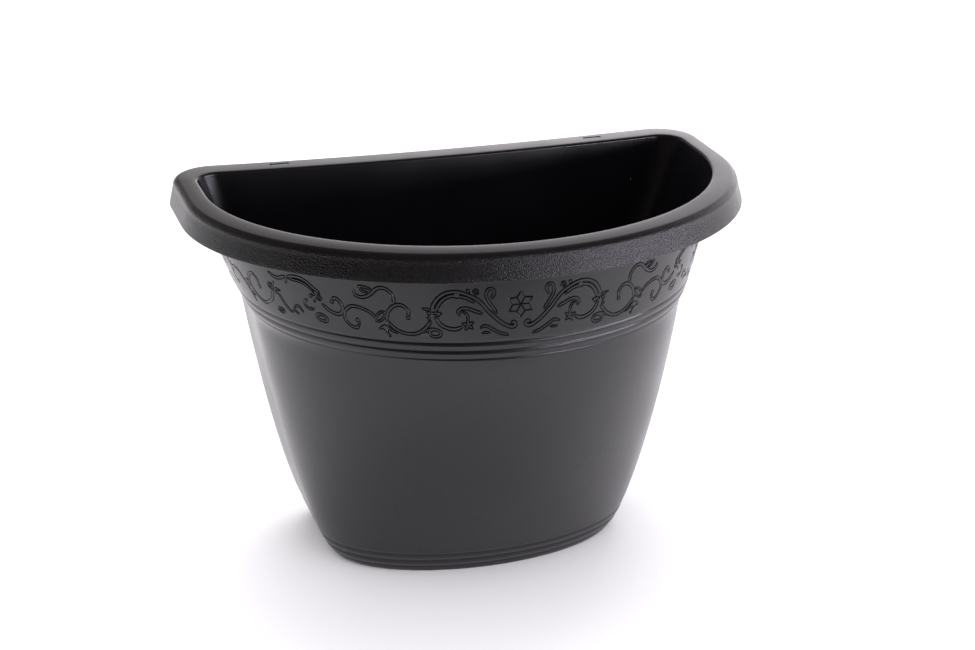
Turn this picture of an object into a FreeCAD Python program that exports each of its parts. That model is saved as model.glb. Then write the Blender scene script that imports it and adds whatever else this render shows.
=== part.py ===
import FreeCAD, Part
import math
import os

# A half-round wall planter. The wall it hangs on is the plane y = overall_depth / 2,
# the round front faces -Y, and the origin is under the middle of the box, on the table.
# Every size is in millimetres.

# Pot, outside
overall_width = 300.0
overall_depth = 180.0
overall_height = 200.0
wall = 2.4
back_draft = 4.0  # how much further the back wall stands off the building wall at the base
back_bow = 5.5  # hollow of the back, so that the pot bears on the wall at its two corners

# Rim: a flat top that rounds over into a turned-down skirt
skirt_height = 14.0
skirt_flare = 2.8
skirt_wall = 2.2
rim_round = 5.6
rim_width_side = 14.5
rim_width_front = 16.0
rim_width_back = 17.5
rim_straight = 57.5  # straight part of the side, from the building wall
rim_corner = 25.0

# Mouth and wall below the rim
mouth_straight = 50.0
mouth_corner = 12.0
knee_below_crest = 62.0  # where the flared ornamental band starts
band_flare = 22.4
band_curve = 0.79  # below 1, the band flares most at the knee
band_flare_front = 0.5
knee_straight = 62.0

# Base
base_half_width = 75.5
base_depth = 117.5  # from the building wall to the front of the base
side_curve = 0.59  # below 1, the sides belly out near the base
front_curve = 1.55  # above 1, the front turns upright before the knee
base_straight = 79.0
base_corner = 14.0
floor_thickness = 2.6
foot_height = 3.0
foot_width = 5.0

# Moulded grooves
groove_depth = 1.0  # V-shaped
groove_width = 2.4
groove_pitch = 4.3
band_groove_count = 3
band_groove_rise = 3.4  # lowest groove above the knee
base_groove_pitch = 4.7
base_groove_count = 3
base_groove_rise = 4.0

# Ribs on the back that stand the pot off the building wall
standoff_spacing = 104.0
standoff_thickness = 2.4
standoff_height = 98.0
standoff_rise = 18.0

# Drain holes in the floor, and the plugs pushed into them from below
hole_radius = 5.0
plug_clearance = 0.2
plug_head_radius = 8.0
plug_head_thickness = 2.0
plug_recess = 0.3  # top of the plug below the inside of the floor
rear_holes_spacing = 96.0
front_holes_spacing = 48.0
holes_row_gap = 43.0
rear_holes_to_wall = 45.0

# Loose grid that keeps the soil above the water
grid_rise = 14.0
grid_thickness = 2.0
grid_clearance = 1.2
grid_hole_radius = 2.6
grid_pitch = 13.0
grid_margin = 7.0
peg_radius = 4.0
peg_margin = 1.0  # from a peg to the nearest hole
peg_spacing_x = 104.0
peg_front_to_wall = 96.0
peg_rear_to_wall = 34.0

# Wall hooks, bent from steel strip
hook_spacing = 177.0
hook_width = 14.0
hook_thickness = 2.0
hook_bend = 0.6
hook_plate_length = 36.0
hook_tip_width = 9.0
hook_tip_length = 5.0
hook_tip_recess = 0.6
hook_reach = 12.5  # from the building wall to the front of the tongue
slot_clearance = 0.6
screw_radius = 2.25
screw_drop = 24.0  # screw below the hook's shelf

# How the solids are made
spare = 1.0  # how far a cutting shape reaches past what it cuts
groove_spare = 0.4  # the same, for the fine grooves
wall_sections = 8
shoulder_sections = 5
section_crowding = 1.5  # above 1, the wall's sections crowd towards the foot and the knee

wall_plane = overall_depth / 2
rim_half_width = overall_width / 2
knee_height = overall_height - knee_below_crest
top_half_width = rim_half_width - rim_width_side + wall
top_depth = overall_depth - rim_width_front + wall
knee_half_width = top_half_width - band_flare
knee_depth = top_depth - band_flare_front
top_back_gap = rim_width_back - wall
skirt_edge = overall_height - skirt_height
floor_top = foot_height + floor_thickness
tongue_front = wall_plane - hook_reach


def section(half_width, depth, straight, back_gap, corner):
    return {
        "half_width": half_width,
        "depth": depth,
        "straight": straight,
        "back_gap": back_gap,
        "corner": corner,
    }


def inset(plan, amount):
    """The same plan drawn in by a wall's thickness, or out if the amount is negative."""
    return section(
        plan["half_width"] - amount,
        plan["depth"] - amount,
        plan["straight"],
        plan["back_gap"] + amount,
        max(plan["corner"] - amount, wall),
    )


def mix(low, high, share):
    return low + (high - low) * share


def wall_plan(z):
    """Outside of the pot's wall at a height: bowl-shaped to the knee, then flared to the rim."""
    up = z / overall_height
    back_gap = top_back_gap + back_draft * (1 - up)
    corner = mix(base_corner, mouth_corner + wall, up)
    if z <= knee_height:
        share = z / knee_height
        half_width = mix(base_half_width, knee_half_width, share**side_curve)
        depth = mix(base_depth, knee_depth, 1 - (1 - share) ** front_curve)
        straight = mix(base_straight, knee_straight, share)
    else:
        share = (z - knee_height) / (overall_height - knee_height)
        half_width = mix(knee_half_width, top_half_width, share**band_curve)
        depth = mix(knee_depth, top_depth, share)
        straight = mix(knee_straight, mouth_straight, share)
    return section(half_width, depth, straight, back_gap, corner)


def rim_plan(inward, flare):
    """Outside of the rim, drawn in from the skirt's lower edge. The skirt flares except at the back."""
    edge = section(rim_half_width, overall_depth, rim_straight, -flare, rim_corner)
    return inset(edge, inward + flare)


def mirrored(point):
    return FreeCAD.Vector(-point.x, point.y, point.z)


def outline(plan, z):
    """Half-round wire: half an ellipse in front, straight sides, round corners, hollow back."""
    half_width = plan["half_width"]
    corner = plan["corner"]
    side_y = wall_plane - plan["straight"]
    rear_y = wall_plane - plan["back_gap"]
    reach = half_width - corner
    bow_radius = (back_bow**2 + reach**2) / (2 * back_bow) - corner
    bow_centre = FreeCAD.Vector(0, rear_y - back_bow + bow_radius, z)
    corner_centre = FreeCAD.Vector(reach, rear_y - corner, z)
    to_bow = (bow_centre - corner_centre).normalize()
    tangent = corner_centre + to_bow * corner
    turn = math.atan2(to_bow.y, to_bow.x) / 2
    middle = corner_centre + FreeCAD.Vector(math.cos(turn), math.sin(turn), 0) * corner
    side_top = FreeCAD.Vector(half_width, rear_y - corner, z)
    side_foot = FreeCAD.Vector(half_width, side_y, z)
    front = Part.makeCircle(1, FreeCAD.Vector(), FreeCAD.Vector(0, 0, 1), 180, 360)
    stretch = FreeCAD.Matrix()
    stretch.scale(half_width, plan["depth"] - plan["straight"], 1)
    stretch.move(FreeCAD.Vector(0, side_y, z))
    bow_middle = FreeCAD.Vector(0, rear_y - back_bow, z)
    edges = [
        front.transformGeometry(stretch),
        Part.LineSegment(side_foot, side_top).toShape(),
        Part.Arc(side_top, middle, tangent).toShape(),
        Part.Arc(tangent, bow_middle, mirrored(tangent)).toShape(),
        Part.Arc(mirrored(tangent), mirrored(middle), mirrored(side_top)).toShape(),
        Part.LineSegment(mirrored(side_top), mirrored(side_foot)).toShape(),
    ]
    return Part.Wire(edges)


def loft(plans, ruled=False):
    """Solid through (height, plan) pairs."""
    wires = [outline(plan, z) for z, plan in plans]
    return Part.makeLoft(wires, True, ruled)


def wall_solid(inward, low, high):
    """The bowl and the flared band between two heights, drawn in by a thickness."""
    parts = []
    for foot, head in ((low, knee_height), (knee_height, high)):
        plans = []
        for step in range(wall_sections + 1):
            z = mix(foot, head, (step / wall_sections) ** section_crowding)
            plans.append((z, inset(wall_plan(z), inward)))
        parts.append(loft(plans))
    return parts[0].fuse(parts[1])


def rim_solid(inward, top):
    """The skirt, the rounded shoulder and the flat top, drawn in by a thickness."""
    shoulder = top - rim_round
    plans = [(skirt_edge, rim_plan(inward, 0.0))]
    for step in range(shoulder_sections + 1):
        angle = math.radians(90 * step / shoulder_sections)
        rounded = inward + rim_round * (1 - math.cos(angle))
        plans.append((shoulder + rim_round * math.sin(angle), rim_plan(rounded, skirt_flare)))
    return loft(plans, ruled=True)


def groove(z, width, depth):
    """Ring to cut away: a V all round the wall."""
    flare = 1 + groove_spare / depth
    low = z - width * flare / 2
    high = z + width * flare / 2
    reach = -groove_spare - spare
    outer = loft([(low, inset(wall_plan(low), reach)), (high, inset(wall_plan(high), reach))], True)
    kept = [
        (low, inset(wall_plan(low), -groove_spare)),
        (z, inset(wall_plan(z), depth)),
        (high, inset(wall_plan(high), -groove_spare)),
    ]
    return outer.cut(loft(kept, ruled=True))


def box(x_low, x_high, y_low, y_high, z_low, z_high):
    size = (x_high - x_low, y_high - y_low, z_high - z_low)
    return Part.makeBox(*size, FreeCAD.Vector(x_low, y_low, z_low))


def rod(radius, x, y, z_low, z_high):
    return Part.makeCylinder(radius, z_high - z_low, FreeCAD.Vector(x, y, z_low))


def drain_hole_centres():
    rear_y = wall_plane - rear_holes_to_wall
    front_y = rear_y - holes_row_gap
    return [
        (-rear_holes_spacing / 2, rear_y),
        (rear_holes_spacing / 2, rear_y),
        (-front_holes_spacing / 2, front_y),
        (front_holes_spacing / 2, front_y),
    ]


def make_pot_shell():
    body = wall_solid(0.0, 0.0, overall_height)
    rim = rim_solid(0.0, overall_height).cut(rim_solid(skirt_wall, overall_height - wall))
    shell = body.fuse(rim)
    shell = shell.fuse(standoffs(body))
    shell = shell.cut(wall_solid(wall, floor_top, overall_height + spare))
    recess = outline(inset(wall_plan(0), foot_width), 0)
    shell = shell.cut(Part.Face(recess).extrude(FreeCAD.Vector(0, 0, foot_height)))
    cuts = []
    for index in range(band_groove_count):
        z = knee_height + band_groove_rise + groove_pitch * index
        cuts.append(groove(z, groove_width, groove_depth))
    for index in range(base_groove_count):
        z = base_groove_rise + base_groove_pitch * index
        cuts.append(groove(z, groove_width, groove_depth))
    for x, y in drain_hole_centres():
        cuts.append(rod(hole_radius, x, y, 0, floor_top + spare))
    half_slot = hook_tip_width / 2 + slot_clearance
    slot_front = tongue_front - slot_clearance
    slot_rear = tongue_front + hook_thickness + slot_clearance
    slot_low = overall_height - wall - spare
    for side in (-1, 1):
        x = side * hook_spacing / 2
        slot = box(x - half_slot, x + half_slot, slot_front, slot_rear, slot_low, overall_height + spare)
        cuts.append(slot)
    return shell.cut(cuts).removeSplitter()


def standoffs(body):
    """Two upright ribs that bear on the building wall."""
    ribs = []
    half = standoff_thickness / 2
    root = wall_plane - top_back_gap - back_draft - back_bow - wall
    for side in (-1, 1):
        x = side * standoff_spacing / 2
        rib = box(x - half, x + half, root, wall_plane, standoff_rise, standoff_rise + standoff_height)
        ribs.append(rib.cut(body))
    return ribs


def make_drain_grid():
    low = floor_top + grid_rise
    plan = inset(wall_plan(low), wall + grid_clearance)
    plate = Part.Face(outline(plan, low)).extrude(FreeCAD.Vector(0, 0, grid_thickness))
    room = Part.Face(outline(inset(plan, grid_margin), low))
    holes = []
    row_gap = grid_pitch * math.sin(math.radians(60))
    rows = int(plan["depth"] / row_gap)
    for row in range(rows):
        y = wall_plane - plan["back_gap"] - grid_margin - row_gap * row
        shift = grid_pitch / 2 * (row % 2)
        across = int(plan["half_width"] / grid_pitch) + 1
        for step in range(-across, across + 1):
            x = step * grid_pitch + shift
            if clear_of_pegs(x, y) and room.isInside(FreeCAD.Vector(x, y, low), 0.01, True):
                holes.append(rod(grid_hole_radius, x, y, low - spare, low + grid_thickness + spare))
    plate = plate.cut(holes)
    pegs = [rod(peg_radius, x, y, floor_top, low) for x, y in peg_centres()]
    return plate.fuse(pegs).removeSplitter()


def peg_centres():
    rear_y = wall_plane - peg_rear_to_wall
    front_y = wall_plane - peg_front_to_wall
    return [
        (-peg_spacing_x / 2, rear_y),
        (peg_spacing_x / 2, rear_y),
        (0, rear_y),
        (-peg_spacing_x / 4, front_y),
        (peg_spacing_x / 4, front_y),
    ]


def clear_of_pegs(x, y):
    return all(
        math.hypot(x - peg_x, y - peg_y) > peg_radius + grid_hole_radius + peg_margin
        for peg_x, peg_y in peg_centres()
    )


def make_drain_plug(x, y):
    head_low = foot_height - plug_head_thickness
    head = rod(plug_head_radius, x, y, head_low, foot_height)
    shank = rod(hole_radius - plug_clearance, x, y, foot_height, floor_top - plug_recess)
    return head.fuse(shank).removeSplitter()


def make_wall_hook(side):
    """Strip bent into a Z: a tongue up behind the mouth, a shelf under the skirt, a plate on the wall."""
    x = side * hook_spacing / 2
    tip = overall_height - hook_tip_recess
    shelf_low = skirt_edge - hook_thickness
    tongue_rear = tongue_front + hook_thickness
    plate_front = wall_plane - hook_thickness
    low = x - hook_width / 2
    high = x + hook_width / 2
    tongue = box(low, high, tongue_front, tongue_rear, shelf_low, tip)
    shelf = box(low, high, tongue_front, wall_plane, shelf_low, skirt_edge)
    plate = box(low, high, plate_front, wall_plane, skirt_edge - hook_plate_length, skirt_edge)
    hook = tongue.fuse([shelf, plate]).removeSplitter()
    hook = round_bends(hook, hook_bend, [(tongue_rear, skirt_edge), (plate_front, shelf_low)])
    outer_bend = hook_bend + hook_thickness
    hook = round_bends(hook, outer_bend, [(tongue_front, shelf_low), (wall_plane, skirt_edge)])
    tip_low = tip - hook_tip_length
    notch = (tongue_front - spare, tongue_rear + spare, tip_low, tip + spare)
    hook = hook.cut(box(low - spare, x - hook_tip_width / 2, *notch))
    hook = hook.cut(box(x + hook_tip_width / 2, high + spare, *notch))
    start = FreeCAD.Vector(x, plate_front - spare, shelf_low - screw_drop)
    through = hook_thickness + 2 * spare
    return hook.cut(Part.makeCylinder(screw_radius, through, start, FreeCAD.Vector(0, 1, 0)))


def round_bends(hook, radius, bends):
    """Rounds the edges that run along X through the given (y, z) points."""
    chosen = []
    for edge in hook.Edges:
        middle = edge.CenterOfMass
        if edge.BoundBox.XLength > hook_width / 2:
            for y, z in bends:
                if math.hypot(middle.y - y, middle.z - z) < radius / 10:
                    chosen.append(edge)
    return hook.makeFillet(radius, chosen)


def save(shape, name):
    if len(shape.Solids) != 1 or not shape.isValid():
        raise ValueError(name + " is not one valid solid")
    shape.Solids[0].exportStep("parts/" + name + ".step")
    print(name, round(shape.Volume), "mm3")


os.makedirs("parts", exist_ok=True)
save(make_pot_shell(), "pot_shell")
save(make_drain_grid(), "drain_grid")
for number, centre in enumerate(drain_hole_centres(), 1):
    save(make_drain_plug(*centre), "drain_plug_" + str(number))
save(make_wall_hook(-1), "wall_hook_left")
save(make_wall_hook(1), "wall_hook_right")
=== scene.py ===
import bisect
import math

import bmesh
import bpy
from mathutils import Matrix, Vector


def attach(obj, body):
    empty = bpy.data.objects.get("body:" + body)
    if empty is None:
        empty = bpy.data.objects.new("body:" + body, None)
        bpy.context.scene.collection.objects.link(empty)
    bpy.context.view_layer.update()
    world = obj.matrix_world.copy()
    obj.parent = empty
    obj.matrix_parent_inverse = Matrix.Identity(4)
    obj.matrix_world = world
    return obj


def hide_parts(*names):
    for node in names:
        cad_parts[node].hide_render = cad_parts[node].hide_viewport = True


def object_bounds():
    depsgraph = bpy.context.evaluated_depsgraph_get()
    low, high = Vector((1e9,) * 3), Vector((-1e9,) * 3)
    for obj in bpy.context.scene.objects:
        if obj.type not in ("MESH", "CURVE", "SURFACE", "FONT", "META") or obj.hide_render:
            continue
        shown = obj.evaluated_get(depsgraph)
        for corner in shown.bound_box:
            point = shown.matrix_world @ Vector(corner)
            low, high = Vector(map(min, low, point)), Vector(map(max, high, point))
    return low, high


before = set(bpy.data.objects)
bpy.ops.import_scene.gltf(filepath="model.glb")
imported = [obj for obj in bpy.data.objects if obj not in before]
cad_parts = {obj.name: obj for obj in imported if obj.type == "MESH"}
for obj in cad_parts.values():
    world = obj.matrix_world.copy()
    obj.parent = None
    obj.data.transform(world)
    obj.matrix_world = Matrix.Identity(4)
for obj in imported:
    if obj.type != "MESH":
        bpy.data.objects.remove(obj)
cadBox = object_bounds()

print("frame loaded:", ", ".join(sorted(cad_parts)))

mm = 0.001
lowCorner, highCorner = cadBox
potHeight = (highCorner[2] - lowCorner[2]) / mm
wallPlane = highCorner[1] / mm  # the building wall, behind the pot
rimHalfWidth = highCorner[0] / mm
rimDepth = (highCorner[1] - lowCorner[1]) / mm


# Small helpers

def linearColour(code):  # "#rrggbb" as seen on a screen, to the linear values that shaders want
    channels = [int(code[i : i + 2], 16) / 255 for i in (1, 3, 5)]
    linear = [c / 12.92 if c <= 0.04045 else ((c + 0.055) / 1.055) ** 2.4 for c in channels]
    return (*linear, 1.0)


def addNode(tree, kind, inputs=None, **settings):  # an input is a value, or (node, output name)
    node = tree.nodes.new("ShaderNode" + kind)
    for name, value in settings.items():
        setattr(node, name, value)
    for socket, value in (inputs or {}).items():
        if isinstance(value, tuple) and isinstance(value[0], bpy.types.Node):
            tree.links.new(value[0].outputs[value[1]], node.inputs[socket])
        else:
            node.inputs[socket].default_value = value
    return node


def newMaterial(name):
    material = bpy.data.materials.new(name)
    material.use_nodes = True
    material.node_tree.nodes.clear()
    return material, material.node_tree


def endMaterial(tree, shader):
    addNode(tree, "OutputMaterial", {"Surface": (shader, "BSDF")})


def mix(low, high, share):
    return low + (high - low) * share


def makePiece(name, bm, materials, body, sharpAngle=35):
    mesh = bpy.data.meshes.new(name)
    bm.to_mesh(mesh)
    bm.free()
    piece = bpy.data.objects.new(name, mesh)
    bpy.context.scene.collection.objects.link(piece)
    for material in materials:
        mesh.materials.append(material)
    mesh.shade_smooth()
    mesh.set_sharp_from_angle(angle=math.radians(sharpAngle))
    if body:
        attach(piece, body)
    return piece


def applyModifiers(piece):
    shown = piece.evaluated_get(bpy.context.evaluated_depsgraph_get())
    piece.data = bpy.data.meshes.new_from_object(shown)
    piece.modifiers.clear()


# Materials

plastic = {
    "body": "#050507",
    "bodyPale": "#09090e",
    "roughness": (0.25, 0.33),
    "patchSize": 45.0,  # mm, slow change of gloss over the moulding
    "sinkSize": 70.0,  # mm between the faint hollows of a cooled moulding
    "sinkDepth": 0.25,
    "grit": 0.7,  # mm, grain that the spark-eroded mould gives the skirt
    "gritDepth": 0.32,
    "bloom": 1.6,  # mm, what unevenness the polished parts have
    "bloomDepth": 0.004,
    "speckSpacing": 11.0,
    "speckRadius": 0.42,
    "speckShare": 0.7,  # of the cells, those left without a speck of dust
    "dust": "#8e8e92",
}


def mouldedPolypropylene(name, grained):
    # Black injection-moulded polypropylene: waxy, satin, IOR 1.49. The bowl comes from a
    # polished mould, so it mirrors the floor softly. The skirt's mould was spark-eroded, and
    # its grain breaks the light into specks. Real grain is about 0.3 mm; it is drawn coarser.
    material, tree = newMaterial(name)
    place = addNode(tree, "TexCoord")
    patches = addNode(tree, "TexNoise", {
        "Vector": (place, "Object"), "Scale": 1 / (plastic["patchSize"] * mm), "Detail": 3.0})
    gloss = addNode(tree, "MapRange", {
        "Value": (patches, "Fac"), "From Min": 0.3, "From Max": 0.7,
        "To Min": plastic["roughness"][0], "To Max": plastic["roughness"][1]})
    body = addNode(tree, "Mix", {
        "Factor": (patches, "Fac"),
        6: linearColour(plastic["body"]), 7: linearColour(plastic["bodyPale"])}, data_type="RGBA")
    cells = addNode(tree, "TexVoronoi", {
        "Vector": (place, "Object"), "Scale": 1 / (plastic["speckSpacing"] * mm)})
    lucky = addNode(tree, "SeparateColor", {"Color": (cells, "Color")})
    size = addNode(tree, "MapRange", {
        "Value": (lucky, "Red"), "From Min": plastic["speckShare"], "From Max": 1.0,
        "To Min": 0.0, "To Max": plastic["speckRadius"] / plastic["speckSpacing"]})
    speck = addNode(tree, "Math", {0: (cells, "Distance"), 1: (size, "Result")}, operation="LESS_THAN")
    colour = addNode(tree, "Mix", {
        "Factor": (speck, "Value"), 6: (body, 2), 7: linearColour(plastic["dust"])}, data_type="RGBA")
    sinks = addNode(tree, "TexNoise", {
        "Vector": (place, "Object"), "Scale": 1 / (plastic["sinkSize"] * mm), "Detail": 1.0})
    relief = addNode(tree, "Bump", {
        "Height": (sinks, "Fac"), "Strength": 1.0, "Distance": plastic["sinkDepth"] * mm})
    grainSize, depth = (
        (plastic["grit"], plastic["gritDepth"]) if grained else (plastic["bloom"], plastic["bloomDepth"]))
    grain = addNode(tree, "TexNoise", {
        "Vector": (place, "Object"), "Scale": 1 / (grainSize * mm), "Detail": 2.0})
    texture = addNode(tree, "Bump", {
        "Height": (grain, "Fac"), "Strength": 1.0, "Distance": depth * mm, "Normal": (relief, "Normal")})
    shader = addNode(tree, "BsdfPrincipled", {
        "Base Color": (colour, 2), "Roughness": (gloss, "Result"), "IOR": 1.49,
        "Normal": (texture, "Normal")})
    endMaterial(tree, shader)
    return material


hookFinish = {
    "cloudSize": 6.0,
    "roughness": (0.24, 0.46),
    "colours": ("#aeb2b8", "#c9ccd0"),
}


def zincPlatedSteel():
    # Bright zinc plating on cold-rolled strip: blue-white, fairly dull, clouded in patches.
    material, tree = newMaterial("bright zinc plated steel")
    place = addNode(tree, "TexCoord")
    clouds = addNode(tree, "TexNoise", {
        "Vector": (place, "Object"), "Scale": 1 / (hookFinish["cloudSize"] * mm), "Detail": 4.0})
    gloss = addNode(tree, "MapRange", {
        "Value": (clouds, "Fac"),
        "To Min": hookFinish["roughness"][0], "To Max": hookFinish["roughness"][1]})
    colour = addNode(tree, "Mix", {
        "Factor": (clouds, "Fac"),
        6: linearColour(hookFinish["colours"][0]),
        7: linearColour(hookFinish["colours"][1])}, data_type="RGBA")
    shader = addNode(tree, "BsdfPrincipled", {
        "Base Color": (colour, 2), "Metallic": 1.0, "Roughness": (gloss, "Result")})
    endMaterial(tree, shader)
    return material


gridFinish = {
    "colour": "#1c1c1e",
    "grainSize": 0.9,
    "grainDepth": 0.03,
    "roughness": (0.45, 0.62),
}


def mattePolypropylene():
    # The grid is moulded from recycled black polypropylene: duller and a little greyer.
    material, tree = newMaterial("matte moulded polypropylene")
    place = addNode(tree, "TexCoord")
    grain = addNode(tree, "TexNoise", {
        "Vector": (place, "Object"), "Scale": 1 / (gridFinish["grainSize"] * mm), "Detail": 3.0})
    gloss = addNode(tree, "MapRange", {
        "Value": (grain, "Fac"),
        "To Min": gridFinish["roughness"][0], "To Max": gridFinish["roughness"][1]})
    relief = addNode(tree, "Bump", {
        "Height": (grain, "Fac"), "Distance": gridFinish["grainDepth"] * mm})
    shader = addNode(tree, "BsdfPrincipled", {
        "Base Color": linearColour(gridFinish["colour"]), "Roughness": (gloss, "Result"), "IOR": 1.49,
        "Normal": (relief, "Normal")})
    endMaterial(tree, shader)
    return material


plugFinish = {
    "bloomSize": 4.0,
    "roughness": 0.78,
    "colours": ("#121212", "#262626"),
}


def softRubber():
    # Moulded rubber: no gloss, and a faint grey bloom where it has been handled.
    material, tree = newMaterial("moulded soft rubber")
    place = addNode(tree, "TexCoord")
    bloom = addNode(tree, "TexNoise", {
        "Vector": (place, "Object"), "Scale": 1 / (plugFinish["bloomSize"] * mm), "Detail": 3.0})
    colour = addNode(tree, "Mix", {
        "Factor": (bloom, "Fac"),
        6: linearColour(plugFinish["colours"][0]),
        7: linearColour(plugFinish["colours"][1])}, data_type="RGBA")
    shader = addNode(tree, "BsdfPrincipled", {
        "Base Color": (colour, 2), "Roughness": plugFinish["roughness"], "IOR": 1.52})
    endMaterial(tree, shader)
    return material


satinPlastic = mouldedPolypropylene("satin moulded polypropylene", False)
grainedPlastic = mouldedPolypropylene("grained moulded polypropylene", True)
zinc = zincPlatedSteel()
gridPlastic = mattePolypropylene()
rubber = softRubber()
print("materials made")


# Plan of the pot: half an ellipse in front, straight sides, round corners, hollow back

pot = {
    "wall": 2.4,
    "backDraft": 4.0,
    "backBow": 5.5,
    "skirtHeight": 14.0,
    "skirtFlare": 2.8,
    "skirtWall": 2.2,
    "rimRound": 3.8,
    "rimCrown": 0.45,  # the rim's top is faintly domed, lower toward the skirt
    "rimWidthSide": 14.5,
    "rimWidthFront": 16.0,
    "rimWidthBack": 17.5,
    "rimStraight": 57.5,
    "rimCorner": 25.0,
    "mouthStraight": 50.0,
    "mouthCorner": 12.0,
    "kneeBelowCrest": 62.0,
    "bandFlare": 22.4,
    "bandCurve": 0.79,
    "bandFlareFront": 0.5,
    "kneeStraight": 62.0,
    "baseHalfWidth": 75.5,
    "baseDepth": 117.5,
    "sideCurve": 0.59,
    "frontCurve": 1.55,
    "baseStraight": 79.0,
    "baseCorner": 14.0,
    "floorThickness": 2.6,
    "footHeight": 3.0,
    "footWidth": 5.0,
    "grooveDepth": 0.3,
    "grooveWidth": 1.7,
    "beadHeight": 0.3,
    "bandGrooves": (3, 3.4, 4.3),  # how many, the lowest above the knee, and their pitch
    "baseGrooves": (3, 4.0, 4.7),
    "lipRound": 0.7,
    "mouthRound": 1.3,
    "neckRound": 1.2,  # inside corner where the wall meets the underside of the rim
    "polishedShare": 0.12,  # of the shoulder, next to the top, that has no grain
    "grooveRings": 0.42,  # mm between rings of faces among the grooves, in the band, and on the bowl
    "bandRings": 2.0,
    "bowlRings": 3.6,
    "insideRings": 28,
    "footRound": 0.8,
    "floorRound": 3.0,
    "frontPoints": 176,
    "sidePoints": 22,
    "cornerPoints": 14,
    "backPoints": 88,
}
wall = pot["wall"]
kneeHeight = potHeight - pot["kneeBelowCrest"]
topHalfWidth = rimHalfWidth - pot["rimWidthSide"] + wall
topDepth = rimDepth - pot["rimWidthFront"] + wall
topBackGap = pot["rimWidthBack"] - wall
skirtEdge = potHeight - pot["skirtHeight"]
floorTop = pot["footHeight"] + pot["floorThickness"]


def section(halfWidth, depth, straight, backGap, corner):
    return {
        "halfWidth": halfWidth, "depth": depth, "straight": straight,
        "backGap": backGap, "corner": corner}


def inset(plan, amount):
    return section(
        plan["halfWidth"] - amount, plan["depth"] - amount, plan["straight"],
        plan["backGap"] + amount, max(plan["corner"] - amount, wall))


def wallPlan(z):
    up = z / potHeight
    backGap = topBackGap + pot["backDraft"] * (1 - up)
    corner = mix(pot["baseCorner"], pot["mouthCorner"] + wall, up)
    kneeHalfWidth = topHalfWidth - pot["bandFlare"]
    kneeDepth = topDepth - pot["bandFlareFront"]
    if z <= kneeHeight:
        share = max(z, 0) / kneeHeight
        halfWidth = mix(pot["baseHalfWidth"], kneeHalfWidth, share ** pot["sideCurve"])
        depth = mix(pot["baseDepth"], kneeDepth, 1 - (1 - share) ** pot["frontCurve"])
        straight = mix(pot["baseStraight"], pot["kneeStraight"], share)
    else:
        share = (z - kneeHeight) / (potHeight - kneeHeight)
        halfWidth = mix(kneeHalfWidth, topHalfWidth, share ** pot["bandCurve"])
        depth = mix(kneeDepth, topDepth, share)
        straight = mix(pot["kneeStraight"], pot["mouthStraight"], share)
    return section(halfWidth, depth, straight, backGap, corner)


def rimPlan(inward, flare):
    edge = section(rimHalfWidth, rimDepth, pot["rimStraight"], -flare, pot["rimCorner"])
    return inset(edge, inward + flare)


def outlinePoints(plan):  # (x, y) in mm, from the left end of the half ellipse, round the front
    halfWidth, corner = plan["halfWidth"], plan["corner"]
    sideY = wallPlane - plan["straight"]
    rearY = wallPlane - plan["backGap"]
    reach = halfWidth - corner
    bow = pot["backBow"]
    bowRadius = (bow**2 + reach**2) / (2 * bow) - corner
    bowY = rearY - bow + bowRadius
    turn = math.atan2(bowY - (rearY - corner), -reach)
    bowTurn = math.asin(reach / (bowRadius + corner))
    points = []
    for step in range(pot["frontPoints"]):
        angle = math.pi * (1 + step / pot["frontPoints"])
        across = halfWidth * math.cos(angle)
        points.append((across, sideY + (plan["depth"] - plan["straight"]) * math.sin(angle)))
    side, rear = [], []
    for step in range(pot["sidePoints"]):
        side.append((halfWidth, mix(sideY, rearY - corner, step / pot["sidePoints"])))
    for step in range(pot["cornerPoints"] + 1):
        angle = turn * step / pot["cornerPoints"]
        side.append((reach + corner * math.cos(angle), rearY - corner + corner * math.sin(angle)))
    for step in range(1, pot["backPoints"]):
        angle = mix(bowTurn, -bowTurn, step / pot["backPoints"])
        rear.append((bowRadius * math.sin(angle), bowY - bowRadius * math.cos(angle)))
    left = [(-x, y) for x, y in reversed(side)]
    return points + side + rear + left[:-1]


def grooveOffset(z):  # how far the grooves draw the wall in at a height, less the beads
    offset = 0.0
    for lowest, (count, rise, pitch) in ((kneeHeight, pot["bandGrooves"]), (0.0, pot["baseGrooves"])):
        for index in range(count):
            away = abs(z - lowest - rise - pitch * index) / (pot["grooveWidth"] / 2)
            if away < 1:
                offset += pot["grooveDepth"] * (0.5 + 0.5 * math.cos(math.pi * away)) ** 0.8
        for index in range(count - 1):
            away = abs(z - lowest - rise - pitch * (index + 0.5)) / (pitch / 2)
            if away < 1:
                offset -= pot["beadHeight"] * (0.5 + 0.5 * math.cos(math.pi * away))
    return offset


def roundOver(radius, steps):  # (how far in, how far down) along a quarter circle, from side to top
    turns = [math.pi / 2 * step / steps for step in range(steps + 1)]
    return [(radius * (1 - math.cos(t)), radius * (1 - math.sin(t))) for t in turns]


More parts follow.
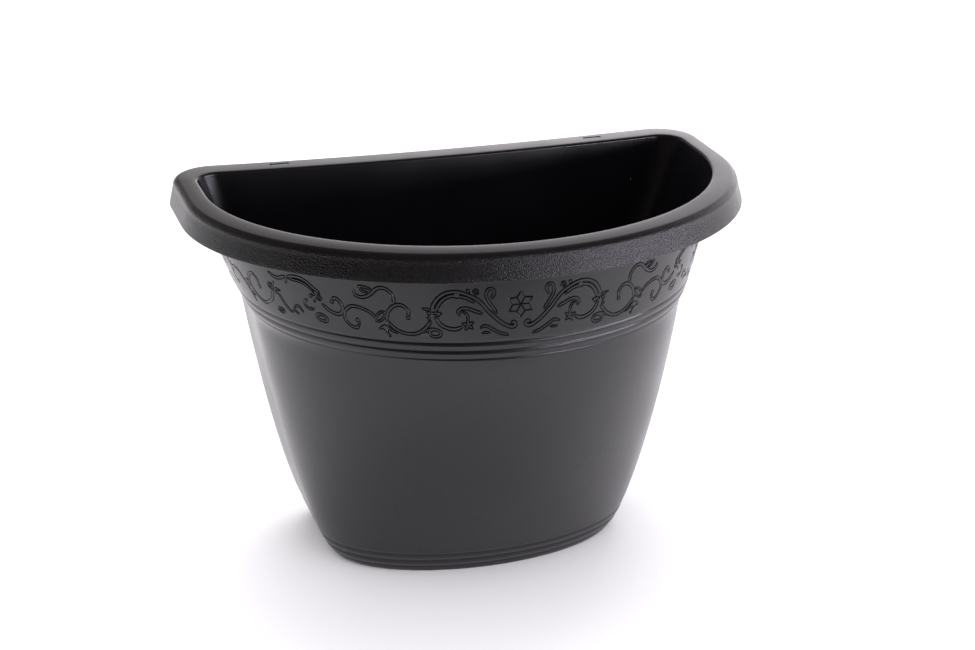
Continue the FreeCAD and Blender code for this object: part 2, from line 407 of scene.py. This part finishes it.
def shellRings():  # (plan, height, material index): up outside, over the rim, down inside
    rings = []
    footPlan = wallPlan(0)
    footRound = pot["footRound"]
    rings.append((inset(footPlan, pot["footWidth"]), pot["footHeight"], 0))
    for inward, rise in roundOver(footRound, 4):
        rings.append((inset(footPlan, pot["footWidth"] - inward), rise, 0))
    for inward, rise in reversed(roundOver(footRound, 4)):
        rings.append((inset(wallPlan(rise), inward + grooveOffset(rise)), rise, 0))
    underRim = potHeight - wall
    heights = []
    z = footRound
    while z < underRim - 2 * pot["neckRound"]:
        inGrooves = z < 16 or kneeHeight - 1 < z < kneeHeight + 16
        z += pot["grooveRings"] if inGrooves else pot["bandRings" if z > kneeHeight else "bowlRings"]
        heights.append(z)
    for z in heights:
        rings.append((inset(wallPlan(z), grooveOffset(z)), z, 0))
    for inward, down in roundOver(pot["neckRound"], 4)[1:]:
        z = underRim - down
        rings.append((inset(wallPlan(z), -inward), z, 0))
    for inward, down in reversed(roundOver(pot["rimRound"], 6)):
        rings.append((rimPlan(pot["skirtWall"] + inward, pot["skirtFlare"]), underRim - down, 0))
    lip = pot["lipRound"]

    def flareAt(z):
        share = (z - skirtEdge) / (potHeight - pot["rimCrown"] - pot["rimRound"] - skirtEdge)
        return pot["skirtFlare"] * share

    for inward, rise in roundOver(lip, 4):
        rings.append((rimPlan(pot["skirtWall"] - inward, flareAt(skirtEdge + rise)), skirtEdge + rise, 0))
    for inward, rise in reversed(roundOver(lip, 5)):
        rings.append((rimPlan(inward, flareAt(skirtEdge + rise)), skirtEdge + rise, 1))
    shoulder = potHeight - pot["rimCrown"] - pot["rimRound"]
    for step in range(1, 5):
        z = mix(skirtEdge + lip, shoulder, step / 5)
        rings.append((rimPlan(0, flareAt(z)), z, 1))
    for inward, down in roundOver(pot["rimRound"], 9):
        look = 1 if down > pot["polishedShare"] * pot["rimRound"] else 0
        rings.append((rimPlan(inward, pot["skirtFlare"]), potHeight - pot["rimCrown"] - down, look))
    mouth = inset(wallPlan(potHeight), wall)
    outer, inner = rings[-1][0], inset(mouth, -pot["mouthRound"])
    for step in range(1, 6):
        share = step / 6
        plan = {key: mix(outer[key], inner[key], share) for key in outer}
        rings.append((plan, potHeight - pot["rimCrown"] * (1 - share) ** 2, 0))
    for inward, down in reversed(roundOver(pot["mouthRound"], 5)):
        rings.append((inset(mouth, -inward), potHeight - down, 0))
    z = potHeight - pot["mouthRound"]
    lowest = floorTop + pot["floorRound"]
    steps = pot["insideRings"]
    for step in range(1, steps + 1):
        height = mix(z, lowest, step / steps)
        rings.append((inset(wallPlan(height), wall), height, 0))
    for inward, down in roundOver(pot["floorRound"], 5)[1:]:
        height = lowest - (pot["floorRound"] - down)
        rings.append((inset(wallPlan(height), wall + inward), height, 0))
    return rings


def makeShell():
    bm = bmesh.new()
    rings = shellRings()
    count = len(outlinePoints(rings[0][0]))
    bmesh.ops.create_circle(bm, segments=count, radius=1)
    turn = bm.verts.layers.int.new("turn")
    ring = list(bm.verts)
    for index, vertex in enumerate(ring):
        vertex[turn] = index

    def place(vertices, plan, z):
        points = outlinePoints(plan)
        for vertex in vertices:
            x, y = points[vertex[turn]]
            vertex.co = (x * mm, y * mm, z * mm)

    place(ring, rings[0][0], rings[0][1])
    edges = list(bm.edges)
    bmesh.ops.edgeloop_fill(bm, edges=edges)
    for plan, z, look in rings[1:]:
        made = bmesh.ops.extrude_edge_only(bm, edges=edges)["geom"]
        edges = [part for part in made if isinstance(part, bmesh.types.BMEdge)]
        place([part for part in made if isinstance(part, bmesh.types.BMVert)], plan, z)
        for face in made:
            if isinstance(face, bmesh.types.BMFace):
                face.material_index = look
    bmesh.ops.edgeloop_fill(bm, edges=edges)
    bmesh.ops.remove_doubles(bm, verts=bm.verts, dist=0.002 * mm)
    bmesh.ops.recalc_face_normals(bm, faces=bm.faces)
    return makePiece("potShell", bm, [satinPlastic, grainedPlastic], "pot")


def addBox(bm, lowest, highest, roundEdges=0.0):
    centre = [(a + b) / 2 * mm for a, b in zip(lowest, highest)]
    size = [(b - a) * mm for a, b in zip(lowest, highest)]
    matrix = Matrix.Translation(centre) @ Matrix.Diagonal((*size, 1))
    made = bmesh.ops.create_cube(bm, size=1, matrix=matrix)["verts"]
    if roundEdges:
        edges = {edge for vertex in made for edge in vertex.link_edges}
        bmesh.ops.bevel(
            bm, geom=list(edges), offset=roundEdges * mm, segments=3, profile=0.5,
            affect="EDGES", material=-1)


def combine(piece, other, operation, solver="EXACT"):
    modifier = piece.modifiers.new("combine", "BOOLEAN")
    modifier.object = other
    modifier.operation = operation
    modifier.solver = solver
    applyModifiers(piece)
    bpy.data.objects.remove(other)


backDetails = {
    "standoffSpacing": 104.0,
    "standoffThickness": 2.4,
    "standoffLow": 18.0,
    "standoffHigh": 116.0,
    "standoffRound": 0.4,
    "slotSpacing": 177.0,
    "slotWidth": 10.2,
    "slotFront": 76.9,
    "slotRear": 80.1,
    "slotRound": 0.5,
    "drainHoles": ((-48, 45), (48, 45), (-24, 2), (24, 2)),
    "drainRadius": 5.0,
    "drainCut": 8.0,  # height of the cutter, which goes right through the floor
}

shell = makeShell()
print("shell:", len(shell.data.polygons), "faces")

ribs = bmesh.new()
for side in (-1, 1):
    x = side * backDetails["standoffSpacing"] / 2
    half = backDetails["standoffThickness"] / 2
    root = wallPlane - topBackGap - pot["backBow"] - pot["backDraft"]
    addBox(
        ribs, (x - half, root, backDetails["standoffLow"]),
        (x + half, wallPlane, backDetails["standoffHigh"]), backDetails["standoffRound"])
combine(shell, makePiece("ribs", ribs, [], None), "UNION")
cutter = bmesh.new()
for x, y in backDetails["drainHoles"]:
    place = Matrix.Translation((x * mm, y * mm, backDetails["drainCut"] / 2 * mm))
    bmesh.ops.create_cone(
        cutter, cap_ends=True, segments=64, radius1=backDetails["drainRadius"] * mm,
        radius2=backDetails["drainRadius"] * mm, depth=backDetails["drainCut"] * mm, matrix=place)
for side in (-1, 1):
    x = side * backDetails["slotSpacing"] / 2
    half = backDetails["slotWidth"] / 2
    addBox(
        cutter, (x - half, backDetails["slotFront"], potHeight - 2 * wall),
        (x + half, backDetails["slotRear"], potHeight + wall), backDetails["slotRound"])
combine(shell, makePiece("cutter", cutter, [], None), "DIFFERENCE")
shell.data.set_sharp_from_angle(angle=math.radians(35))
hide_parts("pot_shell")
print("shell cut:", len(shell.data.polygons), "faces")


# Scroll frieze, drawn flat as (mm round the pot from the star, mm above the table),
# then wrapped on the band

frieze = {
    "middle": -4.5,  # the star stands a little left of the pot's middle
    "land": 0.06,  # how far the flat lands stand proud of the band
    "depth": 0.36,  # of the groove round each land
    "line": 0.4,  # half the groove's width
    "lift": 0.25,
    "step": 0.8,
    "star": (0.0, 168.8, 6.6, 4.2),  # middle, tip radius, notch radius
    "strokes": [  # width, then points
        (1.7, [(5.0, 158.9), (4.0, 159.9), (2.9, 159.4), (2.7, 158.2), (3.7, 157.3), (6.2, 157.8),
               (9.6, 159.8), (13.2, 163.0), (16.8, 166.9), (19.1, 170.1), (21.9, 172.9), (25.4, 174.8),
               (28.6, 176.2), (32.2, 176.8), (36.1, 176.1), (39.6, 173.9), (42.3, 170.6), (44.0, 166.6)]),
        (1.5, [(23.0, 171.2), (26.1, 173.3), (30.5, 174.6), (34.6, 174.5), (37.9, 172.7),
               (40.4, 169.7), (42.2, 166.0)]),
        (1.7, [(42.6, 164.0), (40.4, 160.0), (36.9, 157.9), (33.2, 157.3), (29.6, 158.6)]),
        (1.5, [(19.4, 165.2), (23.2, 166.8), (26.4, 168.1), (29.3, 168.0), (31.0, 166.4), (30.4, 164.4)]),
        (1.1, [(29.2, 166.5), (27.2, 165.4), (26.4, 162.9), (26.6, 160.8)]),
        (1.4, [(12.1, 165.0), (14.3, 168.5), (16.2, 171.8), (16.9, 174.8), (16.0, 177.4), (14.2, 177.8),
               (12.9, 176.2), (13.6, 174.2), (14.4, 172.8)]),
        (1.3, [(6.4, 153.2), (10.7, 154.5), (14.6, 156.8), (18.0, 158.7), (20.8, 157.7)]),
        (1.1, [(16.0, 155.2), (19.8, 155.1)]),
        (1.5, [(44.6, 161.6), (47.9, 157.9), (51.2, 155.5), (54.6, 154.5), (58.2, 154.5), (61.8, 155.7),
               (64.6, 157.9), (66.8, 160.8)]),
        (1.2, [(42.6, 157.5), (46.2, 157.1), (49.6, 155.6)]),
        (1.2, [(62.6, 154.5), (65.0, 155.6), (67.0, 156.6)]),
        (1.5, [(55.9, 163.6), (55.2, 166.0), (56.6, 168.5), (59.3, 169.6), (62.3, 168.6),
               (64.7, 166.4), (66.4, 163.3), (66.9, 160.2)]),
        (1.5, [(61.7, 169.6), (61.6, 173.6), (63.2, 176.6), (66.1, 177.9), (69.0, 177.2), (71.2, 175.2),
               (73.8, 173.2), (77.3, 172.0), (80.4, 173.0), (80.7, 175.2)]),
        (1.2, [(71.4, 176.4), (74.2, 177.4), (77.6, 177.6), (76.4, 175.6), (73.6, 174.8)]),
        (1.4, [(71.8, 161.6), (75.0, 164.6), (78.9, 166.2), (82.9, 166.7), (86.0, 165.4), (88.6, 162.4),
               (89.0, 159.2), (87.3, 156.3), (84.3, 155.1), (82.0, 156.6)]),
        (1.6, [(93.7, 168.2), (92.0, 169.6), (90.0, 168.6), (88.9, 166.2), (89.0, 163.8), (90.5, 161.8),
               (93.4, 161.1), (97.1, 162.5), (99.9, 165.2)]),
        (1.6, [(99.6, 170.8), (102.5, 172.8), (105.0, 175.2), (108.4, 176.8), (112.4, 177.0), (117.0, 176.0)]),
        (1.2, [(103.0, 170.9), (105.6, 173.4), (109.0, 174.9), (113.0, 175.2), (117.0, 175.4)]),
        (1.5, [(118.6, 176.0), (122.0, 174.4), (125.7, 173.9), (129.6, 175.6)]),
        (1.1, [(118.0, 175.0), (119.2, 172.4)]),
        (1.2, [(105.8, 161.5), (108.6, 161.0), (110.7, 162.4), (110.2, 164.8), (108.4, 166.0)]),
        (1.1, [(113.6, 158.2), (116.1, 161.0), (118.9, 159.4)]),
        (1.1, [(117.4, 156.4), (119.4, 157.8), (121.8, 156.5)]),
        (1.4, [(127.0, 164.6), (125.8, 161.6), (124.4, 158.8), (122.2, 156.4)]),
        (1.4, [(130.9, 166.0), (132.4, 163.0), (134.0, 160.4), (138.2, 157.7), (141.8, 156.3),
               (145.4, 157.0), (148.6, 159.4), (150.4, 163.1), (150.0, 167.0), (147.1, 170.2), (143.9, 170.7),
               (141.6, 168.3), (141.6, 165.4)]),
        (1.2, [(125.4, 166.8), (128.4, 167.0), (130.6, 165.6)]),
        (1.2, [(128.0, 171.0), (129.6, 169.0), (131.0, 167.6)]),
        (1.3, [(151.0, 166.0), (152.6, 163.0), (154.8, 161.0)]),
        (1.3, [(150.2, 157.6), (152.6, 158.8), (154.8, 161.0)]),
        (1.3, [(151.8, 154.4), (153.2, 157.4), (154.8, 161.0), (157.5, 164.6), (160.4, 167.3),
               (163.9, 168.3), (167.9, 167.4), (171.0, 164.8), (171.4, 161.4), (169.0, 159.3), (166.1, 160.1)]),
        (1.4, [(168.0, 167.2), (172.0, 168.6), (176.4, 171.6), (181.4, 173.6), (186.4, 172.6),
               (189.6, 169.0), (189.4, 164.8), (186.4, 162.4), (183.2, 163.6), (182.8, 166.2)]),
        (1.4, [(188.6, 170.0), (192.6, 166.0), (197.0, 161.6), (202.0, 158.2), (207.6, 157.6), (211.8, 160.4),
               (213.0, 164.8), (210.8, 168.2), (207.2, 168.4), (205.4, 166.0)]),
        (1.3, [(176.0, 156.6), (180.0, 158.6), (184.4, 158.2), (188.8, 156.0), (193.4, 156.2)]),
        (1.3, [(196.6, 175.4), (200.8, 173.2), (205.2, 173.0), (209.2, 175.0), (213.0, 174.2)]),
    ],
    "loops": [  # middle, half length, half width, turn in degrees, width of the line
        (43.5, 155.2, 2.9, 1.9, 0, 1.3),
        (69.8, 162.6, 3.5, 1.5, -44, 1.0),
        (102.6, 157.4, 3.0, 1.7, 8, 1.3),
        (131.9, 167.9, 1.3, 1.3, 0, 0.9),
        (129.6, 155.5, 2.2, 1.1, 0, 1.0),
        (100.9, 168.3, 1.2, 1.2, 0, 0.9),
        (21.8, 176.6, 1.1, 1.1, 0, 0.8),
    ],
    "beads": [  # middle, radius
        (31.2, 175.0, 1.5), (25.5, 177.2, 0.9), (42.9, 167.4, 1.1), (40.7, 165.1, 0.9), (45.4, 165.6, 0.9),
        (45.8, 162.9, 0.8), (55.9, 162.9, 0.9), (68.3, 156.9, 1.5), (66.9, 152.9, 0.6), (94.0, 167.4, 0.9),
        (103.6, 169.7, 0.8), (105.5, 168.5, 0.9), (104.0, 166.1, 0.6), (82.2, 159.4, 1.0), (81.9, 158.0, 0.7),
        (128.6, 165.2, 0.8), (141.6, 164.8, 1.0), (183.4, 166.6, 1.0), (206.0, 166.4, 1.0),
    ],
    "leaves": [  # root, length, direction in degrees, width
        (26.6, 159.4, 3.2, 18, 1.5), (26.6, 159.4, 3.0, 90, 1.5), (26.6, 159.4, 3.2, 150, 1.5),
        (26.6, 159.4, 3.0, 222, 1.5), (26.6, 159.4, 3.0, 300, 1.5),
        (43.2, 165.6, 4.2, 178, 1.5), (44.2, 167.3, 4.0, 12, 1.4), (68.3, 157.4, 3.4, 200, 1.4),
        (68.6, 157.0, 3.2, 250, 1.3), (68.8, 157.6, 3.0, 330, 1.3), (88.0, 164.4, 2.6, 170, 1.2),
        (151.4, 163.6, 3.0, 40, 1.3), (190.2, 166.6, 3.6, 20, 1.4), (213.2, 163.0, 3.6, 300, 1.4),
    ],
}


def smoothPath(points, closed=False):  # even points along a Catmull-Rom curve through the given ones
    count = len(points)
    dense = []
    spans = count if closed else count - 1
    for index in range(spans):
        if closed:
            a, b, c, d = (Vector(points[(index + k) % count]) for k in (-1, 0, 1, 2))
        else:
            b, c = Vector(points[index]), Vector(points[index + 1])
            a = Vector(points[index - 1]) if index else 2 * b - c
            d = Vector(points[index + 2]) if index + 2 < count else 2 * c - b
        for step in range(12):
            t = step / 12
            dense.append(0.5 * (2 * b + (c - a) * t + (2 * a - 5 * b + 4 * c - d) * t**2
                                + (3 * b - a - 3 * c + d) * t**3))
    dense.append(Vector(points[0 if closed else -1]))
    lengths = [0.0]
    for one, two in zip(dense, dense[1:]):
        lengths.append(lengths[-1] + (two - one).length)
    steps = max(3, round(lengths[-1] / frieze["step"]))
    even = []
    for step in range(steps + (0 if closed else 1)):
        want = lengths[-1] * step / steps
        index = min(bisect.bisect_right(lengths, want) - 1, len(dense) - 2)
        share = (want - lengths[index]) / max(lengths[index + 1] - lengths[index], 1e-9)
        even.append(dense[index].lerp(dense[index + 1], share))
    return even, lengths[-1]


def landSection(half):  # (distance from the middle, height): a flat land between two sloping sides
    rise = frieze["land"]
    top = max(half - frieze["line"], 0.05)
    right = [(top, rise), (max(half, 0.1), -frieze["depth"]), (max(half, 0.1), -2 * frieze["depth"])]
    return [(-d, h) for d, h in reversed(right)] + right


def trenchSection(half):  # what is cut from the wall round a land
    lift = frieze["lift"]
    foot = max(half, 0.1)
    top = foot + frieze["line"] * (lift + frieze["depth"]) / frieze["depth"]
    return [(-top, lift), (-foot, -frieze["depth"]), (foot, -frieze["depth"]), (top, lift)]


def extrudeLoop(bm, edges):  # the new loop's edges and vertices
    made = bmesh.ops.extrude_edge_only(bm, edges=edges)["geom"]
    return ([part for part in made if isinstance(part, bmesh.types.BMEdge)],
            [part for part in made if isinstance(part, bmesh.types.BMVert)])


def startLoop(bm, count):  # a ring of vertices that remember their place in it
    before = set(bm.edges)
    ring = bmesh.ops.create_circle(bm, segments=count, radius=1)["verts"]
    for index, vertex in enumerate(ring):
        vertex[bm.verts.layers.int["position"]] = index
    return [edge for edge in bm.edges if edge not in before], ring


def sweepRelief(bm, profile, path, halfWidths, closed=False):
    position = bm.verts.layers.int["position"]
    last = len(path) - 1

    def place(vertices, index):
        if closed:
            along = path[(index + 1) % len(path)] - path[index - 1]
        else:
            along = path[min(index + 1, last)] - path[max(index - 1, 0)]
        across = Vector((along.y, -along.x)).normalized()
        outline = profile(halfWidths[index])
        for vertex in vertices:
            distance, height = outline[vertex[position]]
            spot = path[index] + across * distance
            vertex.co = (spot.x, spot.y, height)

    firstEdges, vertices = startLoop(bm, len(profile(1.0)))
    place(vertices, 0)
    edges = firstEdges
    for index in range(1, len(path)):
        edges, vertices = extrudeLoop(bm, edges)
        place(vertices, index)
    if closed:
        bmesh.ops.bridge_loops(bm, edges=firstEdges + edges)
    else:
        bmesh.ops.edgeloop_fill(bm, edges=firstEdges)
        bmesh.ops.edgeloop_fill(bm, edges=edges)


def strokePath(points, width, taper=2.0):
    path, length = smoothPath(points)
    halves = []
    for index in range(len(path)):
        along = length * index / (len(path) - 1)
        near = min(along, length - along, taper) / taper
        halves.append(width / 2 * (0.3 + 0.7 * math.sin(math.pi / 2 * near)))
    return path, halves


def leafPath(root, length, direction, width):
    turn = math.radians(direction)
    step = Vector((math.cos(turn), math.sin(turn)))
    path = [Vector(root) + step * (length * index / 6) for index in range(7)]
    halves = [width / 2 * max(0.2, math.sin(math.pi * (0.12 + 0.85 * index / 6))) for index in range(7)]
    return path, halves


def loopPath(middle, halfLength, halfWidth, direction, width):
    turn = math.radians(direction)
    points = []
    for step in range(16):
        angle = math.tau * step / 16
        a, b = halfLength * math.cos(angle), halfWidth * math.sin(angle)
        points.append((middle[0] + a * math.cos(turn) - b * math.sin(turn),
                       middle[1] + a * math.sin(turn) + b * math.cos(turn)))
    path, length = smoothPath(points, closed=True)
    return path, [width / 2] * len(path)


def sweepShape(path, halves, closed=False):
    def draw(bm, profile):
        if profile is trenchSection and not closed:  # the trench runs on past the land's tips
            longer = [path[0] + (path[0] - path[1]).normalized() * frieze["line"], *path[1:-1],
                      path[-1] + (path[-1] - path[-2]).normalized() * frieze["line"]]
            sweepRelief(bm, profile, longer, halves)
        else:
            sweepRelief(bm, profile, path, halves, closed)

    return {"draw": draw, "discs": [(*spot, half) for spot, half in zip(path, halves)]}


def bossShape(middle, reach, corners):  # corners(d) draws the outline d mm larger all round
    def draw(bm, profile):
        section = profile(1.0)
        rings = [(distance - 1.0, height) for distance, height in section[len(section) // 2:]]
        outline = corners(rings[0][0])
        edges, vertices = startLoop(bm, len(outline))
        bmesh.ops.edgeloop_fill(bm, edges=edges)
        for index, (distance, height) in enumerate(rings):
            if index:
                edges, vertices = extrudeLoop(bm, edges)
            outline = corners(distance)
            for vertex in vertices:
                vertex.co = (*outline[vertex[bm.verts.layers.int["position"]]], height)
        bmesh.ops.edgeloop_fill(bm, edges=edges)

    return {"draw": draw, "discs": [(*middle, reach)]}


def beadShape(middle, radius):
    def corners(extra):
        turns = [math.tau * step / 18 for step in range(18)]
        reach = max(radius + extra, 0.1)
        return [(middle[0] + reach * math.cos(t), middle[1] + reach * math.sin(t)) for t in turns]

    return bossShape(middle, radius, corners)


def turned(points, middle, direction):
    turn = math.radians(direction)
    return [(middle[0] + a * math.cos(turn) - b * math.sin(turn),
             middle[1] + a * math.sin(turn) + b * math.cos(turn)) for a, b in points]


def petalShape(middle, tip, notch, direction):
    side, mid = notch * math.sin(math.radians(30)), notch * math.cos(math.radians(30))
    rhomb = [(0.0, 0.0), (mid, -side), (tip, 0.0), (mid, side)]
    inner = tip / 2 * math.sin(math.atan2(side, mid))

    def corners(extra):
        scale = (inner + extra) / inner
        return turned([(tip / 2 + (a - tip / 2) * scale, b * scale) for a, b in rhomb], middle, direction)

    return bossShape(middle, tip, corners)


def starShape(middle, tip, notch):
    inner = notch * math.sin(math.radians(60))

    def corners(extra):
        scale = (inner + extra) / inner
        points = []
        for step in range(12):
            reach = (notch if step % 2 else tip) * scale
            angle = math.radians(30 * step)
            points.append((reach * math.cos(angle), reach * math.sin(angle)))
        return turned(points, middle, 30)

    return bossShape(middle, tip, corners)


def friezeShapes():  # one half of the ornament, without the star
    shapes = [sweepShape(*strokePath(points, width)) for width, points in frieze["strokes"]]
    for u, z, halfLength, halfWidth, direction, width in frieze["loops"]:
        shapes.append(sweepShape(*loopPath((u, z), halfLength, halfWidth, direction, width), closed=True))
    shapes += [beadShape((u, z), radius) for u, z, radius in frieze["beads"]]
    for u, z, length, direction, width in frieze["leaves"]:
        shapes.append(sweepShape(*leafPath((u, z), length, direction, width)))
    return shapes


def apart(one, two, gap):
    for u, z, r in one["discs"]:
        for v, w, q in two["discs"]:
            if (u - v) ** 2 + (z - w) ** 2 < (r + q + gap) ** 2:
                return False
    return True


def groupApart(shapes):  # in a group no trench overlaps another, so that it is one clean cut
    groups = []
    gap = 2.2 * (frieze["line"] * (frieze["lift"] + frieze["depth"]) / frieze["depth"])
    for shape in shapes:
        for group in groups:
            if all(apart(shape, other, gap) for other in group):
                group.append(shape)
                break
        else:
            groups.append([shape])
    return groups


def bandTable(z):  # arc lengths along the front's quarter ellipse at one height
    plan = wallPlan(z)
    halfWidth, reach = plan["halfWidth"], plan["depth"] - plan["straight"]
    steps = 600
    lengths = [0.0]
    for step in range(steps):
        angle = math.pi / 2 * (step + 0.5) / steps
        speed = math.hypot(halfWidth * math.cos(angle), reach * math.sin(angle))
        lengths.append(lengths[-1] + speed * math.pi / 2 / steps)
    return lengths


bandLengths = bandTable(frieze["star"][1])


def onWall(along, z):  # the wall's outside, along mm round the pot from its middle
    plan = wallPlan(z)
    reach = abs(along)
    quarter = bandLengths[-1]
    index = min(bisect.bisect_right(bandLengths, reach) - 1, len(bandLengths) - 2)
    share = (min(reach, quarter) - bandLengths[index]) / (bandLengths[index + 1] - bandLengths[index])
    angle = math.pi / 2 * (index + share) / (len(bandLengths) - 1)
    x = math.copysign(plan["halfWidth"] * math.sin(angle), along)
    y = wallPlane - plan["straight"] - (plan["depth"] - plan["straight"]) * math.cos(angle)
    return Vector((x, y + max(reach - quarter, 0.0), z))


def onBand(along, z, height):
    spot = onWall(along, z)
    across = onWall(along + 0.2, z) - onWall(along - 0.2, z)
    upward = onWall(along, z + 0.2) - onWall(along, z - 0.2)
    return (spot + across.cross(upward).normalized() * height) * mm


def addShape(bm, shape, profile):  # recalculated normals can leave a thin bent solid inside out
    part = bmesh.new()
    part.verts.layers.int.new("position")
    shape["draw"](part, profile)
    bmesh.ops.recalc_face_normals(part, faces=part.faces)
    if part.calc_volume(signed=True) < 0:
        bmesh.ops.reverse_faces(part, faces=part.faces)
    mesh = bpy.data.meshes.new("part")
    part.to_mesh(mesh)
    part.free()
    bm.from_mesh(mesh)
    bpy.data.meshes.remove(mesh)


def drawFrieze(profile, shapes, middleShapes=()):
    bm = bmesh.new()
    for shape in shapes:
        addShape(bm, shape, profile)
    flat = list(bm.verts) + list(bm.edges) + list(bm.faces)
    copies = bmesh.ops.duplicate(bm, geom=flat)["geom"]
    for vertex in copies:
        if isinstance(vertex, bmesh.types.BMVert):
            vertex.co.x = -vertex.co.x
    bmesh.ops.reverse_faces(bm, faces=[part for part in copies if isinstance(part, bmesh.types.BMFace)])
    for shape in middleShapes:
        addShape(bm, shape, profile)
    for vertex in bm.verts:
        vertex.co = onBand(vertex.co.x + frieze["middle"], vertex.co.y, vertex.co.z)
    return bm


starMiddle, (starTip, starNotch) = frieze["star"][:2], frieze["star"][2:]
halfShapes = friezeShapes()
middleShapes = [starShape(starMiddle, starTip, starNotch)]
for number, group in enumerate(groupApart(halfShapes)):
    trenches = makePiece("trenches", drawFrieze(trenchSection, group, middleShapes), [], None)
    combine(shell, trenches, "DIFFERENCE", "MANIFOLD")
    middleShapes = []
    print("trench group", number, "cut:", len(shell.data.polygons), "faces")
shell.data.set_sharp_from_angle(angle=math.radians(35))
petals = [petalShape(starMiddle, starTip, starNotch, 30 + 60 * turn) for turn in range(6)]
scrolls = makePiece(
    "scrollFrieze", drawFrieze(landSection, halfShapes, petals), [satinPlastic], "pot", 28)
print("frieze:", len(scrolls.data.polygons), "faces")

finishes = {"drain_grid": gridPlastic, "wall_hook_left": zinc, "wall_hook_right": zinc}
for number in range(1, 5):
    finishes["drain_plug_" + str(number)] = rubber
for node, material in finishes.items():
    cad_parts[node].data.materials.clear()
    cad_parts[node].data.materials.append(material)
print("finishes set on", len(finishes), "pieces")


# Studio: pale floor in even light. The plastic mirrors a bright wall behind and a darker room in front

studio = {
    "floor": "#f3f0f4",
    "floorBox": ((-5.0, -0.52), (5.0, 9.0)),  # metres; in front of its edge the room is dark
    "camera": (-0.3100, -0.9678, 0.5375),
    "aim": (0.0099, 0.0205, 0.1188),
    "roll": 0.596,
    "lens": 77.30,
    "surroundings": "#fefefe",
    "surroundingsPower": 1.2,
    "roomDark": (0.09, 0.065, 0.042, 1),  # what the plastic mirrors in front and on the left
    "roomBright": (2.4, 2.3, 2.42, 1),  # and behind on the right
    "softboxes": [  # name, place, aim, size, watts, colour, mirrored in the plastic
        ("overhead", (0.4, 1.5, 2.2), (0, 1.0, 0), (2.4, 2.4), 52, "#ffffff", False),
        ("front fill", (0.5, -1.8, 1.3), (0, 0, 0), (1.8, 1.2), 6, "#ffffff", False),
        ("right reflector", (1.05, -0.92, 0.3), (0, 0, 0.17), (1.5, 0.12), 13, "#f4f0ff", True),
    ],
}


def makeFloor():
    bm = bmesh.new()
    (left, front), (right, rear) = studio["floorBox"]
    spread = Matrix.Translation(((left + right) / 2, (front + rear) / 2, 0)) @ Matrix.Diagonal(
        ((right - left) / 2, (rear - front) / 2, 1, 1))
    bmesh.ops.create_grid(bm, x_segments=1, y_segments=1, size=1, matrix=spread)
    material, tree = newMaterial("pale studio paper")
    shader = addNode(tree, "BsdfPrincipled", {"Base Color": linearColour(studio["floor"]), "Roughness": 0.9})
    endMaterial(tree, shader)
    floor = makePiece("floor", bm, [material], None)


def addSoftbox(name, place, aim, size, power, colour, mirrored):
    data = bpy.data.lights.new(name, "AREA")
    data.shape = "RECTANGLE"
    data.size, data.size_y = size
    data.energy = power
    data.color = linearColour(colour)[:3]
    lamp = bpy.data.objects.new(name, data)
    bpy.context.scene.collection.objects.link(lamp)
    lamp.location = place
    lamp.rotation_euler = (Vector(aim) - Vector(place)).to_track_quat("-Z", "Y").to_euler()
    lamp.visible_glossy = mirrored


def makeSurroundings():
    world = bpy.data.worlds.new("studio")
    bpy.context.scene.world = world
    world.use_nodes = True
    tree = world.node_tree
    tree.nodes.clear()
    way = addNode(tree, "TexCoord")
    parts = addNode(tree, "SeparateXYZ", {"Vector": (way, "Generated")})
    behind = addNode(tree, "MapRange", {
        "Value": (parts, "Y"), "From Min": -0.1, "From Max": 0.75, "To Min": 0.0, "To Max": 1.0},
        interpolation_type="SMOOTHSTEP")
    overhead = addNode(tree, "MapRange", {
        "Value": (parts, "Z"), "From Min": 0.15, "From Max": 0.62, "To Min": 1.0, "To Max": 0.12},
        interpolation_type="SMOOTHSTEP")
    rightward = addNode(tree, "MapRange", {
        "Value": (parts, "X"), "From Min": -0.05, "From Max": 0.4, "To Min": 0.15, "To Max": 1.0},
        interpolation_type="SMOOTHSTEP")
    wallShare = addNode(tree, "Math", {0: (behind, "Result"), 1: (overhead, "Result")}, operation="MULTIPLY")
    share = addNode(tree, "Math", {0: (wallShare, "Value"), 1: (rightward, "Result")}, operation="MULTIPLY")
    glow = addNode(tree, "Mix", {
        "Factor": (share, "Value"), 6: studio["roomDark"], 7: studio["roomBright"]},
        data_type="RGBA", clamp_factor=True)
    room = addNode(tree, "Background", {"Color": (glow, 2)})
    pale = addNode(tree, "Background", {
        "Color": linearColour(studio["surroundings"]), "Strength": studio["surroundingsPower"]})
    ray = addNode(tree, "LightPath")
    choice = addNode(tree, "MixShader", {
        "Fac": (ray, "Is Glossy Ray"), 1: (pale, "Background"), 2: (room, "Background")})
    addNode(tree, "OutputWorld", {"Surface": (choice, "Shader")})


def makeCamera():
    data = bpy.data.cameras.new("camera")
    data.sensor_width = 36
    data.lens = studio["lens"]
    camera = bpy.data.objects.new("camera", data)
    bpy.context.scene.collection.objects.link(camera)
    place, aim = Vector(studio["camera"]), Vector(studio["aim"])
    turn = (aim - place).to_track_quat("-Z", "Y").to_matrix()
    roll = Matrix.Rotation(math.radians(studio["roll"]), 3, "Z")
    camera.location = place
    camera.rotation_euler = (turn @ roll).to_euler()
    bpy.context.scene.camera = camera


makeFloor()
makeSurroundings()
makeCamera()
for softbox in studio["softboxes"]:
    addSoftbox(*softbox)
bpy.context.scene.view_settings.view_transform = "Standard"
print("studio made")
